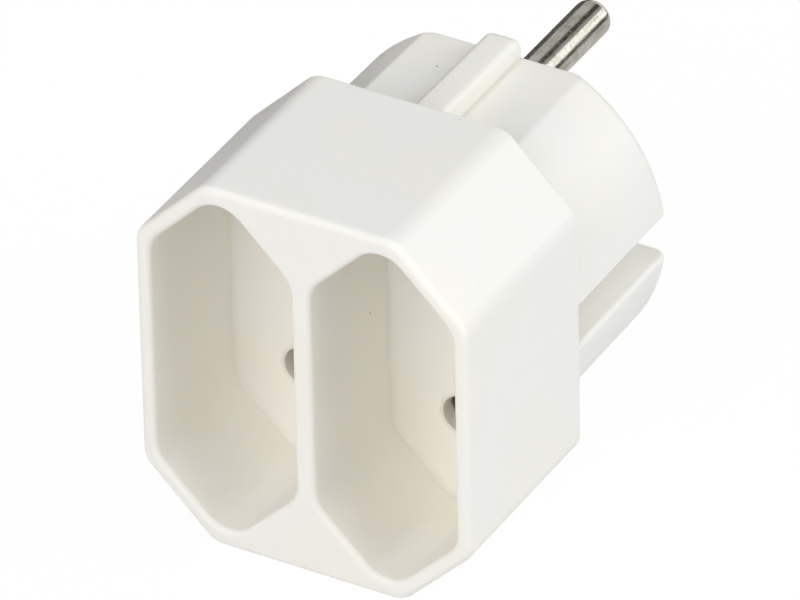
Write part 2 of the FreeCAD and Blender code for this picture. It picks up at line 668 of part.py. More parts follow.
def make_screw(doc):
    """The closing screw, with its head sunk in the plug end."""
    shank, head = "(size.screw_shank / 2)", "(size.screw_head / 2)"
    back = f"({HEAD_SEAT} + size.screw_head_height)"
    point = f"({HEAD_SEAT} - size.screw_shank_length)"
    body, turned = profile_body(doc, "closing_screw", (
        ("0", point), (shank, f"({point} + size.screw_point_length)"), (shank, HEAD_SEAT),
        (head, HEAD_SEAT), (head, back), ("0", back),
    ))
    fillet(body, "screw_head_edge", turned, "size.screw_head_radius", at_depth(value_of(body, back)))
    cross = across_sketch(body, "cross_outline", back)
    arm, reach = "(size.cross_width / 2)", "(size.cross_length / 2)"
    add_outline(cross, (
        (arm, arm), (arm, reach), (f"-{arm}", reach), (f"-{arm}", arm), (f"-{reach}", arm),
        (f"-{reach}", f"-{arm}"), (f"-{arm}", f"-{arm}"), (f"-{arm}", f"-{reach}"),
        (arm, f"-{reach}"), (arm, f"-{arm}"), (reach, f"-{arm}"), (reach, arm),
    ))
    pocket(body, "cross_recess", cross, "size.cross_depth", forward=True)
    return body


def check(doc, bodies):
    """Stops at a failed object or an empty or broken solid."""
    for item in doc.Objects:
        if "Invalid" in item.State or "Error" in item.State:
            raise RuntimeError(f"{item.Name}: {item.State}")
    for body in bodies:
        if body.Shape.isNull() or not body.Shape.isValid() or len(body.Shape.Solids) != 1:
            raise RuntimeError(f"{body.Label}: no single valid solid")


def main():
    doc = FreeCAD.newDocument("socket_adapter")
    make_sheet(doc)
    bodies = [make_socket_housing(doc), make_plug_housing(doc), make_screw(doc)]
    for level, sign, turn in (("upper", "", 0), ("lower", "-", 180)):
        bodies.append(make_pin(doc, f"pin_{level}", f"{sign}{PIN_Z}"))
        bodies.append(make_bar(doc, f"contact_bar_{level}", turn))
        for side, across in (("left", f"-{CONTACT_X}"), ("right", CONTACT_X)):
            place = across, f"{sign}{CONTACT_Z}"
            bodies.append(make_contact(doc, f"spring_contact_{level}_{side}", *place))
            bodies.append(make_rivet(doc, f"contact_rivet_{level}_{side}", *place))
    doc.recompute()
    check(doc, bodies)
    os.makedirs("parts", exist_ok=True)
    for body in bodies:
        body.Shape.exportStep(f"parts/{body.Label}.step")


main()
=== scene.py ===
"""Finishes and studio of a two-way socket adapter: white plastic, worn nickel pins, brass inside."""

import json
import math

import bmesh
import bpy
from mathutils import Matrix, Vector

bl_info = {
    "name": "Two-way Socket Adapter",
    "version": (1, 0, 0),
    "blender": (4, 5, 0),
    "location": "3D View > Sidebar > Adapter",
    "description": "Finishes of a two-way socket adapter, with its studio",
    "category": "Object",
}

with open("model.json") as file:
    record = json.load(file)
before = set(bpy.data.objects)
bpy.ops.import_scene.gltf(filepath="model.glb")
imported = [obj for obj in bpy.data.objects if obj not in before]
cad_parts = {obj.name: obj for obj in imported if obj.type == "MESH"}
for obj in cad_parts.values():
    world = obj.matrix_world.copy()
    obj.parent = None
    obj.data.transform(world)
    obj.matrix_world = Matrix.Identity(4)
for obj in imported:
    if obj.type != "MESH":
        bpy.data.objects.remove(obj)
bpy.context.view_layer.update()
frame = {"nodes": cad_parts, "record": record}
NODES = frame["nodes"]
MOUNTS = {mount["name"]: mount for mount in frame["record"]["mounts"]}

MM = 0.001
WHITE = (1.0, 1.0, 1.0)
LEVELS = ("upper", "lower")
SIDES = ("left", "right")


# Sizes and colours that a user may change


class PlasticSettings(bpy.types.PropertyGroup):
    """Finish of the two white mouldings."""

    colour: bpy.props.FloatVectorProperty(
        name="Plastic colour", description="Colour of the moulded plastic",
        subtype="COLOR", min=0, max=1, default=(0.948, 0.924, 0.850))
    warm_colour: bpy.props.FloatVectorProperty(
        name="Warm patches", description="Colour of the slightly warmer patches",
        subtype="COLOR", min=0, max=1, default=(0.958, 0.920, 0.825))
    translucence: bpy.props.FloatProperty(
        name="Translucence", description="Share of the light that scatters inside the plastic",
        subtype="FACTOR", min=0, max=1, default=0.3)
    scatter_length: bpy.props.FloatProperty(
        name="Scatter length", description="How far light travels inside the plastic",
        unit="LENGTH", subtype="DISTANCE", min=0, default=0.7 * MM)
    gloss_low: bpy.props.FloatProperty(
        name="Smoothest", description="Roughness of the shiniest places",
        subtype="FACTOR", min=0, max=1, default=0.36)
    gloss_high: bpy.props.FloatProperty(
        name="Roughest", description="Roughness of the dullest places",
        subtype="FACTOR", min=0, max=1, default=0.50)
    speck_size: bpy.props.FloatProperty(
        name="Speck size", description="Radius of the dark specks in the plastic",
        unit="LENGTH", subtype="DISTANCE", min=0, default=0.11 * MM)


class MetalSettings(bpy.types.PropertyGroup):
    """Finish of the pins, the screw and the contacts."""

    nickel: bpy.props.FloatVectorProperty(
        name="Nickel", description="Colour of the nickel plate on the pins",
        subtype="COLOR", min=0, max=1, default=(0.665, 0.64, 0.575))
    nickel_worn: bpy.props.FloatVectorProperty(
        name="Worn nickel", description="Colour where the plate is dull",
        subtype="COLOR", min=0, max=1, default=(0.54, 0.53, 0.43))
    pit: bpy.props.FloatVectorProperty(
        name="Pits", description="Colour of the small pits in the plate",
        subtype="COLOR", min=0, max=1, default=(0.16, 0.15, 0.11))
    brass: bpy.props.FloatVectorProperty(
        name="Brass", description="Colour of the contact bars and rivets",
        subtype="COLOR", min=0, max=1, default=(0.78, 0.62, 0.34))
    bronze: bpy.props.FloatVectorProperty(
        name="Bronze", description="Colour of the spring contacts",
        subtype="COLOR", min=0, max=1, default=(0.78, 0.60, 0.42))
    tarnish: bpy.props.FloatVectorProperty(
        name="Tarnish", description="Colour of tarnished brass and bronze",
        subtype="COLOR", min=0, max=1, default=(0.36, 0.25, 0.13))
    zinc: bpy.props.FloatVectorProperty(
        name="Zinc", description="Colour of the zinc plate on the screw",
        subtype="COLOR", min=0, max=1, default=(0.62, 0.63, 0.64))


class StudioSettings(bpy.types.PropertyGroup):
    """Floor, light and camera."""

    ambient: bpy.props.FloatProperty(
        name="Ambient", description="Brightness of the surrounding light tent",
        min=0, default=0.25)
    key_power: bpy.props.FloatProperty(
        name="Key light", description="Power of the large soft light at the right",
        unit="POWER", min=0, default=7.2)
    key_direction: bpy.props.FloatVectorProperty(
        name="Key direction", description="Direction from the adapter to the key light",
        subtype="DIRECTION", default=(0.76, 0.17, 0.62))
    fill_power: bpy.props.FloatProperty(
        name="Fill light", description="Power of the soft light above and in front of the socket face",
        unit="POWER", min=0, default=4.8)
    fill_direction: bpy.props.FloatVectorProperty(
        name="Fill direction", description="Direction from the adapter to the fill light",
        subtype="DIRECTION", default=(-0.15, -0.75, 0.64))
    front_power: bpy.props.FloatProperty(
        name="Front light", description="Power of the soft light that shines straight into the wells",
        unit="POWER", min=0, default=3.55)
    front_direction: bpy.props.FloatVectorProperty(
        name="Front direction", description="Direction from the adapter to the front light",
        subtype="DIRECTION", default=(0.0, -0.98, 0.18))
    light_colour: bpy.props.FloatVectorProperty(
        name="Light colour", description="Colour of the key light and of the tent",
        subtype="COLOR", min=0, max=1, default=(0.925, 0.955, 1.0))
    front_colour: bpy.props.FloatVectorProperty(
        name="Front colour", description="Colour of the fill light and the front light",
        subtype="COLOR", min=0, max=1, default=(0.955, 0.942, 0.968))
    floor_shadow: bpy.props.FloatProperty(
        name="Floor shadow", description="How strongly the floor shows the shadow",
        subtype="FACTOR", min=0, max=1, default=0.08)
    camera_azimuth: bpy.props.FloatProperty(
        name="Azimuth", description="Camera's turn from the socket face towards the right side",
        unit="ROTATION", subtype="ANGLE", default=math.radians(30.141))
    camera_elevation: bpy.props.FloatProperty(
        name="Elevation", description="Camera's height above the horizon",
        unit="ROTATION", subtype="ANGLE", default=math.radians(34.383))
    camera_roll: bpy.props.FloatProperty(
        name="Roll", description="Camera's turn about its own axis",
        unit="ROTATION", subtype="ANGLE", default=math.radians(-1.374))
    camera_distance: bpy.props.FloatProperty(
        name="Distance", description="Camera's distance from the point that it looks at",
        unit="LENGTH", subtype="DISTANCE", min=0.1, default=1.18982)
    camera_aim: bpy.props.FloatVectorProperty(
        name="Aim", description="Point that the camera looks at",
        unit="LENGTH", subtype="TRANSLATION", default=(-2.958 * MM, -5.287 * MM, 16.239 * MM))
    camera_lens: bpy.props.FloatProperty(
        name="Lens", description="Focal length in millimetres on a 36 mm wide sensor",
        min=1, default=552.3)


# Node graphs


def empty_graph(owner):
    """The node graph of a material or world, with nothing in it."""
    owner.use_nodes = True
    owner.node_tree.nodes.clear()
    return owner.node_tree


def add_node(tree, kind, options=(), inputs=()):
    """A node with its options set and its inputs set or linked."""
    made = tree.nodes.new(kind)
    for name, value in dict(options).items():
        setattr(made, name, value)
    for name, value in dict(inputs).items():
        if isinstance(value, bpy.types.NodeSocket):
            tree.links.new(value, made.inputs[name])
        else:
            made.inputs[name].default_value = value
    return made


def opaque(colour):
    """A colour with full cover, as colour inputs ask. A node's output stays as it is."""
    return colour if isinstance(colour, bpy.types.NodeSocket) else (*colour, 1.0)


# Where the node that mixes keeps its share, its two colours and the mixed colour
MIX_SHARE = 0
MIX_FIRST = 6
MIX_SECOND = 7
MIX_RESULT = 2


class Finish:
    """One material's graph, with the few kinds of nodes that the finishes share."""

    def __init__(self, name):
        self.material = bpy.data.materials.new(name)
        self.tree = empty_graph(self.material)
        self.place = self.add("ShaderNodeTexCoord").outputs["Object"]

    def add(self, kind, options=(), inputs=()):
        """A node in this material's graph."""
        return add_node(self.tree, kind, options, inputs)

    def stretch(self, scale, turn=(0.0, 0.0, 0.0)):
        """The place on the object, turned and scaled along each axis."""
        moved = self.add("ShaderNodeMapping", inputs={
            "Vector": self.place, "Rotation": turn, "Scale": scale})
        return moved.outputs["Vector"]

    def noise(self, pattern, place=None):
        """A cloudy pattern between 0 and 1, mostly near 0.5."""
        scale, detail, roughness = pattern
        made = self.add("ShaderNodeTexNoise", inputs={
            "Vector": place or self.place, "Scale": scale, "Detail": detail, "Roughness": roughness})
        return made.outputs["Fac"]

    def cells(self, scale):
        """Cells around scattered points, with the distance to the point and a chance colour for each."""
        return self.add("ShaderNodeTexVoronoi", {"feature": "F1"}, {
            "Vector": self.place, "Scale": scale})

    def openness(self, reach, samples, only_local):
        """1 in the open, falling towards 0 where other surfaces are within reach."""
        made = self.add("ShaderNodeAmbientOcclusion", {"samples": samples, "only_local": only_local},
                        {"Distance": reach})
        return made.outputs["AO"]

    def span(self, value, ends, results=(0.0, 1.0)):
        """Carries a value smoothly from one pair of ends to another."""
        made = self.add("ShaderNodeMapRange", {"interpolation_type": "SMOOTHSTEP"}, {
            "Value": value, "From Min": ends[0], "From Max": ends[1],
            "To Min": results[0], "To Max": results[1]})
        return made.outputs["Result"]

    def combine(self, operation, first, second):
        """Two plain values brought together, with the result kept between 0 and 1."""
        made = self.add("ShaderNodeMath", {"operation": operation, "use_clamp": True}, {
            0: first, 1: second})
        return made.outputs["Value"]

    def mix(self, share, first, second):
        """Mixes two colours."""
        made = self.add("ShaderNodeMix", {"data_type": "RGBA"}, {
            MIX_SHARE: share, MIX_FIRST: opaque(first), MIX_SECOND: opaque(second)})
        return made.outputs[MIX_RESULT]

    def mix_values(self, share, first, second):
        """Mixes two plain values."""
        made = self.add("ShaderNodeMix", {"data_type": "FLOAT"}, {
            "Factor": share, "A": first, "B": second})
        return made.outputs["Result"]

    def bump(self, height, distance, strength, below=None):
        """Relief from a pattern, on top of the relief below it where there is one."""
        inputs = {"Height": height, "Distance": distance, "Strength": strength}
        if below is not None:
            inputs["Normal"] = below
        return self.add("ShaderNodeBump", inputs=inputs).outputs["Normal"]

    def close(self, **inputs):
        """Ends the graph in a shader, with its inputs by name and _ for each space."""
        named = {name.replace("_", " "): value for name, value in inputs.items()}
        shader = self.add("ShaderNodeBsdfPrincipled", inputs=named)
        self.add("ShaderNodeOutputMaterial", inputs={"Surface": shader.outputs["BSDF"]})
        return self.material


# Finishes. A pattern is its scale per metre, its detail and its roughness. A span holds the two ends
# between which a pattern counts, and a bump is the share of a relief that shows.

# Moulded plastic

SOCKET_PATCHES = (70.0, 1.0, 0.5)
PLUG_PATCHES = (87.0, 1.0, 0.5)
PATCH_SPAN = (0.38, 0.64)

# Specks scattered by chance: cells per metre, the dot in a cell, and the share of cells without one
SPECK_CELLS = 120.0
SPECK_DOT = (0.008, 0.016)
SPECK_RARITY = 0.95
SPECK_COLOUR = (0.13, 0.11, 0.09)
SPECK_STRENGTH = 0.75

# Places of three more specks, and their sizes as shares of the speck size: on the plug's left flat,
# in the right well, and a small one on the right corner. Their edge fades between two shares of their
# size.
SPECKS = (
    ((-4.64 * MM, 5.81 * MM, 36.40 * MM), 1.0),
    ((1.05 * MM, -17.97 * MM, 23.70 * MM), 1.0),
    ((16.48 * MM, -24.05 * MM, 35.52 * MM), 0.45),
)
SPECK_CORE = 0.6
SPECK_EDGE = 1.3

# Painted shade in the inner corners: the colour darkens where other surfaces are near
CORNER_SHADE_REACH = 0.6 * MM
CORNER_SHADE_SAMPLES = 2
CORNER_SHADE_SPAN = (0.60, 0.95)
CORNER_SHADE_STRENGTH = 0.7
PAINTED_SHADE_COLOUR = (0.72, 0.68, 0.58)

# Entry holes: the point between them, how far each axis lies from it, the directions across the axes,
# and the radius
LOWEST_ENTRY = Vector(MOUNTS["entry_lower_left"]["pos_m"])
HIGHEST_ENTRY = Vector(MOUNTS["entry_upper_right"]["pos_m"])
ENTRY_MIDDLE = (LOWEST_ENTRY + HIGHEST_ENTRY) / 2
ENTRY_OFFSET = (HIGHEST_ENTRY - LOWEST_ENTRY) / 2
ENTRY_ACROSS = (1.0, 0.0, 1.0)
ENTRY_RADIUS = MOUNTS["entry_lower_left"]["dims"]["r_mm"] * MM

# The painted shade of a soft rounded rim around an entry hole, and the ring around it that the painted
# corner shade leaves free
RIM_START = 0.01 * MM
RIM_WIDTH = 0.55 * MM
RIM_SHADE_STRENGTH = 0.65
RIM_FREE = 0.6 * MM

# Flow marks in the gloss, long waves and a fine grain in the relief
FLOW_PATTERN = (420.0, 2.0, 0.5)
FLOW_STRETCH = (1.0, 0.3, 1.0)
FLOW_SPAN = (0.30, 0.72)
WAVE_PATTERN = (170.0, 0.0, 0.5)
GRAIN_PATTERN = (6500.0, 0.0, 0.5)
GRAIN_SHARE = 0.14
PLASTIC_RELIEF = 0.012 * MM
PLASTIC_BUMP = 1.0
PLASTIC_REFRACTION = 1.51
PLASTIC_SCATTER = (1.0, 0.88, 0.7)


def speck(finish, point, radius):
    """1 within a speck, falling to 0 just outside."""
    gap = finish.add("ShaderNodeVectorMath", {"operation": "DISTANCE"}, {0: finish.place, 1: point})
    return finish.span(gap.outputs["Value"], (SPECK_CORE * radius, SPECK_EDGE * radius), (1.0, 0.0))


def speck_cover(finish, size):
    """How much of a speck lies at each place."""
    cells = finish.cells(SPECK_CELLS)
    dot = finish.span(cells.outputs["Distance"], SPECK_DOT, (1.0, 0.0))
    tint = finish.add("ShaderNodeSeparateColor", inputs={"Color": cells.outputs["Color"]})
    chosen = finish.combine("GREATER_THAN", tint.outputs["Red"], SPECK_RARITY)
    cover = finish.combine("MULTIPLY", dot, chosen)
    for point, share in SPECKS:
        cover = finish.combine("MAXIMUM", cover, speck(finish, point, share * size))
    return finish.combine("MULTIPLY", cover, SPECK_STRENGTH)


def entry_distance(finish):
    """Distance from the axis of the nearest entry hole. The four lie mirrored about their middle."""
    place = finish.place
    steps = (("SUBTRACT", ENTRY_MIDDLE), ("ABSOLUTE", None),
             ("SUBTRACT", ENTRY_OFFSET), ("MULTIPLY", ENTRY_ACROSS))
    for operation, value in steps:
        inputs = {0: place} if value is None else {0: place, 1: value}
        place = finish.add("ShaderNodeVectorMath", {"operation": operation}, inputs).outputs["Vector"]
    return finish.add("ShaderNodeVectorMath", {"operation": "LENGTH"}, {0: place}).outputs["Value"]


def painted_shade_cover(finish, has_entries):
    """How much painted shade lies at each place: in the inner corners and on the rims of the entry
    holes.
    """
    openness = finish.openness(CORNER_SHADE_REACH, CORNER_SHADE_SAMPLES, only_local=True)
    # Painted corner shade: darkest where other surfaces are nearest
    corner_shade = finish.span(openness, CORNER_SHADE_SPAN, (CORNER_SHADE_STRENGTH, 0.0))
    if not has_entries:
        return corner_shade
    away = entry_distance(finish)
    free = finish.span(away, (ENTRY_RADIUS, ENTRY_RADIUS + RIM_FREE))
    # Painted shade of a rounded rim: darkest at the hole's edge, fading outwards
    rim = finish.span(away, (ENTRY_RADIUS, ENTRY_RADIUS + RIM_WIDTH), (RIM_SHADE_STRENGTH, 0.0))
    outside = finish.combine("GREATER_THAN", away, ENTRY_RADIUS + RIM_START)
    corner_shade = finish.combine("MULTIPLY", corner_shade, free)
    rim = finish.combine("MULTIPLY", rim, outside)
    return finish.combine("ADD", corner_shade, rim)


def make_plastic(name, settings, patches, has_entries):
    """White moulded plastic: warm patches, specks, painted shade in the corners and around any entry
    holes, flow marks and a fine grain.
    """
    finish = Finish(name)
    warm = finish.span(finish.noise(patches), PATCH_SPAN)
    colour = finish.mix(warm, settings.colour, settings.warm_colour)
    colour = finish.mix(speck_cover(finish, settings.speck_size), colour, SPECK_COLOUR)
    # Painted shade: darker in the inner corners and, on the socket block, around the entry holes
    colour = finish.mix(painted_shade_cover(finish, has_entries), colour, PAINTED_SHADE_COLOUR)
    flow = finish.noise(FLOW_PATTERN, finish.stretch(FLOW_STRETCH))
    rough = finish.span(flow, FLOW_SPAN, (settings.gloss_low, settings.gloss_high))
    surface = finish.mix_values(GRAIN_SHARE, finish.noise(WAVE_PATTERN), finish.noise(GRAIN_PATTERN))
    normal = finish.bump(surface, PLASTIC_RELIEF, PLASTIC_BUMP)
    return finish.close(
        Base_Color=colour, Roughness=rough, IOR=PLASTIC_REFRACTION, Normal=normal,
        Subsurface_Weight=settings.translucence, Subsurface_Scale=settings.scatter_length,
        Subsurface_Radius=PLASTIC_SCATTER)


# Nickel plate: streaks along the pins, worn patches, and pits in some regions. The pits sink in, so
# their relief is negative.

STREAK_PATTERN = (2600.0, 3.0, 0.6)
STREAK_STRETCH = (1.0, 0.07, 1.0)
STREAK_SPAN = (0.52, 0.80)
STREAK_STRENGTH = 0.45
STREAK_RELIEF = 0.008 * MM
STREAK_BUMP = 0.07
WORN_PATTERN = (620.0, 4.0, 0.62)
WORN_SPAN = (0.42, 0.60)
PIT_PATTERN = (3400.0, 5.0, 0.72)
PIT_SPAN = (0.53, 0.62)
PIT_STRENGTH = 0.5
PIT_ROUGHNESS = 0.15
PIT_RELIEF = -0.006 * MM
PIT_BUMP = 0.15
PITTED_PATTERN = (420.0, 2.0, 0.6)
PITTED_STRETCH = (1.0, 0.5, 1.0)
PITTED_SPAN = (0.44, 0.60)
NICKEL_PATTERN = (900.0, 4.0, 0.6)
NICKEL_ROUGHNESS = (0.14, 0.25)

# The ends between which every metal's roughness pattern rises
ROUGH_SPAN = (0.30, 0.70)


def make_nickel(settings):
    """Nickel plate, drawn lengthwise and mottled by use, with pits in some regions."""
    finish = Finish("worn_nickel")
    streaks = finish.noise(STREAK_PATTERN, finish.stretch(STREAK_STRETCH))
    worn = finish.span(finish.noise(WORN_PATTERN), WORN_SPAN)
    pitted = finish.span(finish.noise(PITTED_PATTERN, finish.stretch(PITTED_STRETCH)), PITTED_SPAN)
    pits = finish.combine("MULTIPLY", finish.span(finish.noise(PIT_PATTERN), PIT_SPAN), pitted)
    colour = finish.mix(worn, settings.nickel, settings.nickel_worn)
    colour = finish.mix(finish.span(streaks, STREAK_SPAN, (0.0, STREAK_STRENGTH)), colour, settings.pit)
    colour = finish.mix(finish.combine("MULTIPLY", pits, PIT_STRENGTH), colour, settings.pit)
    rough = finish.span(finish.noise(NICKEL_PATTERN), ROUGH_SPAN, NICKEL_ROUGHNESS)
    rough = finish.combine("ADD", rough, finish.combine("MULTIPLY", pits, PIT_ROUGHNESS))
    normal = finish.bump(pits, PIT_RELIEF, PIT_BUMP, finish.bump(streaks, STREAK_RELIEF, STREAK_BUMP))
    return finish.close(Base_Color=colour, Metallic=1.0, Roughness=rough, Normal=normal)


# Rolled brass and bronze, with a brushed grain

TARNISH_PATTERN = (380.0, 5.0, 0.62)
TARNISH_SPAN = (0.47, 0.74)
TARNISH_STRENGTH = 0.35
BRUSH_PATTERN = (3000.0, 2.0, 0.5)
BRUSH_STRETCH = (1.0, 0.04, 1.0)
BRUSH_ROUGHNESS = (0.24, 0.42)
BRUSH_RELIEF = 0.006 * MM
BRUSH_BUMP = 0.5
GRAIN_ALONG = (0.0, 0.0, 0.0)
GRAIN_ACROSS = (0.0, 0.0, math.radians(90))


def make_sheet_metal(name, colour, tarnish_colour, grain_turn):
    """Rolled brass or bronze with a brushed grain and soft tarnish."""
    finish = Finish(name)
    tarnish = finish.span(finish.noise(TARNISH_PATTERN), TARNISH_SPAN, (0.0, TARNISH_STRENGTH))
    base = finish.mix(tarnish, colour, tarnish_colour)
    grain = finish.noise(BRUSH_PATTERN, finish.stretch(BRUSH_STRETCH, grain_turn))
    rough = finish.span(grain, ROUGH_SPAN, BRUSH_ROUGHNESS)
    normal = finish.bump(grain, BRUSH_RELIEF, BRUSH_BUMP)
    return finish.close(Base_Color=base, Metallic=1.0, Roughness=rough, Normal=normal)


# Zinc plate, with crystals and painted shade in the cross recess

CRYSTALS = 2400.0
CRYSTAL_SPAN = (0.1, 0.9)
CRYSTAL_STRENGTH = 0.35
CRYSTAL_COLOUR = (0.42, 0.44, 0.47)
CRYSTAL_RELIEF = 0.004 * MM
CRYSTAL_BUMP = 0.4
RECESS_REACH = 0.8 * MM
RECESS_SAMPLES = 6
RECESS_SPAN = (0.25, 0.8)
RECESS_SHADE_STRENGTH = 0.5
RECESS_SHADE_COLOUR = (0.17, 0.17, 0.17)
ZINC_PATTERN = (1700.0, 4.0, 0.6)
ZINC_ROUGHNESS = (0.24, 0.42)


def make_zinc(settings):
    """Zinc plate with faint crystals and painted shade that darkens the cross recess."""
    finish = Finish("zinc_plate")
    crystals = finish.cells(CRYSTALS).outputs["Distance"]
    faces = finish.span(crystals, CRYSTAL_SPAN, (0.0, CRYSTAL_STRENGTH))
    colour = finish.mix(faces, settings.zinc, CRYSTAL_COLOUR)
    # Painted shade: the colour darkens where the cross recess and nearby parts close in
    openness = finish.openness(RECESS_REACH, RECESS_SAMPLES, only_local=False)
    dull = finish.span(openness, RECESS_SPAN, (RECESS_SHADE_STRENGTH, 0.0))
    colour = finish.mix(dull, colour, RECESS_SHADE_COLOUR)
    rough = finish.span(finish.noise(ZINC_PATTERN), ROUGH_SPAN, ZINC_ROUGHNESS)
    normal = finish.bump(crystals, CRYSTAL_RELIEF, CRYSTAL_BUMP)
    return finish.close(Base_Color=colour, Metallic=1.0, Roughness=rough, Normal=normal)


def dress(node, material):
    """Gives a CAD node a finish through its own material slots."""
    piece = NODES[node]
    if not piece.material_slots:
        raise RuntimeError(f"{node} has no material slot")
    for slot in piece.material_slots:
        slot.material = material


# Studio

# Floor: half its width, the scale of its mottling, and its darkest and lightest grey
FLOOR_REACH = 6.0
FLOOR_MOTTLE = 9.0
FLOOR_TONES = (0.72, 0.75)

# The floor's painted share renders below white, and its glowing share makes up for that
FLOOR_GLOW = 1.036


def background_rays(tree):
    """1 for camera, mirror and glass rays, 0 for the rays that light the adapter."""
    path = add_node(tree, "ShaderNodeLightPath")
    seen = path.outputs["Is Camera Ray"]
    for kind in ("Is Glossy Ray", "Is Transmission Ray"):
        joined = add_node(tree, "ShaderNodeMath", {"operation": "MAXIMUM"}, {
            0: seen, 1: path.outputs[kind]})
        seen = joined.outputs["Value"]
    return seen


def make_floor_material(settings):
    """A pale floor that is white to the camera and keeps a share of the adapter's shadow."""
    material = bpy.data.materials.new("pale_floor")
    tree = empty_graph(material)
    seen = background_rays(tree)
    place = add_node(tree, "ShaderNodeTexCoord").outputs["Object"]
    mottle = add_node(tree, "ShaderNodeTexNoise", inputs={"Vector": place, "Scale": FLOOR_MOTTLE})
    tone = add_node(tree, "ShaderNodeMapRange", inputs={
        "Value": mottle.outputs["Fac"], "To Min": FLOOR_TONES[0], "To Max": FLOOR_TONES[1]})
    grey = tone.outputs["Result"]
    paper = add_node(tree, "ShaderNodeCombineColor", inputs={"Red": grey, "Green": grey, "Blue": grey})
    paint = add_node(tree, "ShaderNodeBsdfDiffuse", inputs={"Color": paper.outputs["Color"]})
    glow = add_node(tree, "ShaderNodeEmission", inputs={"Strength": FLOOR_GLOW})
    glowing = add_node(tree, "ShaderNodeMath", {"operation": "MULTIPLY"}, {
        0: seen, 1: 1.0 - settings.floor_shadow})
    both = add_node(tree, "ShaderNodeMixShader", inputs={
        0: glowing.outputs["Value"], 1: paint.outputs["BSDF"], 2: glow.outputs["Emission"]})
    add_node(tree, "ShaderNodeOutputMaterial", inputs={"Surface": both.outputs["Shader"]})
    return material


def make_plane(name, corners, material):
    """A flat four-cornered sheet that belongs to the stage."""
    mesh = bpy.data.meshes.new(name)
    work = bmesh.new()
    work.faces.new([work.verts.new(corner) for corner in corners])
    work.to_mesh(mesh)
    work.free()
    mesh.materials.append(material)
    sheet = bpy.data.objects.new(name, mesh)
    bpy.context.scene.collection.objects.link(sheet)
    return sheet


def make_floor(settings):
    """A square floor under the adapter."""
    corners = [(x * FLOOR_REACH, y * FLOOR_REACH, 0) for x, y in ((-1, -1), (1, -1), (1, 1), (-1, 1))]
    make_plane("floor", corners, make_floor_material(settings))


# Grey cards behind the adapter. Only reflections show them, the pins' most of all.
# Each has a name, its left and right edge (X and Z in metres) and a grey.
CARD_LIFT = 0.0003
CARDS = (
    ("card_floor_left", (-0.600, CARD_LIFT), (-0.030, CARD_LIFT), 0.09),
    ("card_low_left", (-0.600, 0.010), (-0.548, 0.264), 0.08),
    ("card_left", (-0.539, 0.283), (-0.078, 0.615), 0.58),
    ("card_top", (-0.074, 0.615), (0.215, 0.580), 0.05),
    ("card_shoulder", (0.235, 0.572), (0.365, 0.496), 0.34),
    ("card_bright", (0.380, 0.485), (0.591, 0.124), 1.55),
    ("card_low_right", (0.594, 0.104), (0.600, 0.001), 0.10),
    ("card_floor_right", (0.115, CARD_LIFT), (0.600, CARD_LIFT), 0.10),
    ("card_floor_middle", (-0.028, CARD_LIFT), (0.112, CARD_LIFT), 0.68),
)

# How near and how far behind the adapter's middle the raised and the lying cards reach (Y in metres)
CARDS_RAISED = (0.27, 1.15)
CARDS_LYING = (0.046, 1.15)


def make_card(name, left, right, grey):
    """A grey card behind the adapter, seen only by mirror rays."""
    material = bpy.data.materials.new(name)
    tree = empty_graph(material)
    glow = add_node(tree, "ShaderNodeEmission", inputs={
        "Color": opaque((grey, grey, grey)), "Strength": 1.0})
    add_node(tree, "ShaderNodeOutputMaterial", inputs={"Surface": glow.outputs["Emission"]})
    near, far = CARDS_LYING if left[1] == right[1] else CARDS_RAISED
    corners = [(x, y, z) for (x, z), y in ((left, near), (right, near), (right, far), (left, far))]
    card = make_plane(name, corners, material)
    for rays in ("camera", "diffuse", "shadow", "transmission", "volume_scatter"):
        setattr(card, f"visible_{rays}", False)


def make_world(settings):
    """A light tent: soft light for the adapter, white to the camera."""
    world = bpy.data.worlds.new("light_tent")
    tree = empty_graph(world)
    seen = background_rays(tree)
    soft = add_node(tree, "ShaderNodeBackground", inputs={
        "Color": opaque(settings.light_colour), "Strength": settings.ambient})
    white = add_node(tree, "ShaderNodeBackground", inputs={"Color": opaque(WHITE), "Strength": 1.0})
    both = add_node(tree, "ShaderNodeMixShader", inputs={
        0: seen, 1: soft.outputs["Background"], 2: white.outputs["Background"]})
    add_node(tree, "ShaderNodeOutputWorld", inputs={"Surface": both.outputs["Shader"]})
    bpy.context.scene.world = world


# Lamps: how far they stand from the point that they face, how wide they are, and that point
LAMP_DISTANCE = 1.0
LAMP_SIZE = 1.0
LAMP_AIM = (0.0, 0.0, 20 * MM)


def make_lamp(name, direction, power, colour):
    """A large soft light that faces the adapter and that no reflection shows."""
    light = bpy.data.lights.new(name, "AREA")
    light.shape = "SQUARE"
    light.size = LAMP_SIZE
    light.energy = power
    light.color = colour
    lamp = bpy.data.objects.new(name, light)
    lamp.visible_glossy = False
    bpy.context.scene.collection.objects.link(lamp)
    direction = Vector(direction).normalized()
    lamp.location = Vector(LAMP_AIM) + direction * LAMP_DISTANCE
    lamp.rotation_euler = direction.to_track_quat("Z", "Y").to_euler()


SENSOR_WIDTH = 36.0


def make_camera(settings):
    """The camera at the angle of the photograph, with no shift and no depth of field."""
    data = bpy.data.cameras.new("camera")
    data.sensor_width = SENSOR_WIDTH
    data.lens = settings.camera_lens
    azimuth, elevation = settings.camera_azimuth, settings.camera_elevation
    back = Vector((math.sin(azimuth) * math.cos(elevation),
                   -math.cos(azimuth) * math.cos(elevation), math.sin(elevation)))
    level = Vector((math.cos(azimuth), math.sin(azimuth), 0))
    across = Matrix.Rotation(settings.camera_roll, 3, back) @ level
    axes = Matrix((across, back.cross(across), back)).transposed()
    place = Vector(settings.camera_aim) + back * settings.camera_distance
    camera = bpy.data.objects.new("camera", data)
    bpy.context.scene.collection.objects.link(camera)
    camera.matrix_world = Matrix.Translation(place) @ axes.to_4x4()
    bpy.context.scene.camera = camera


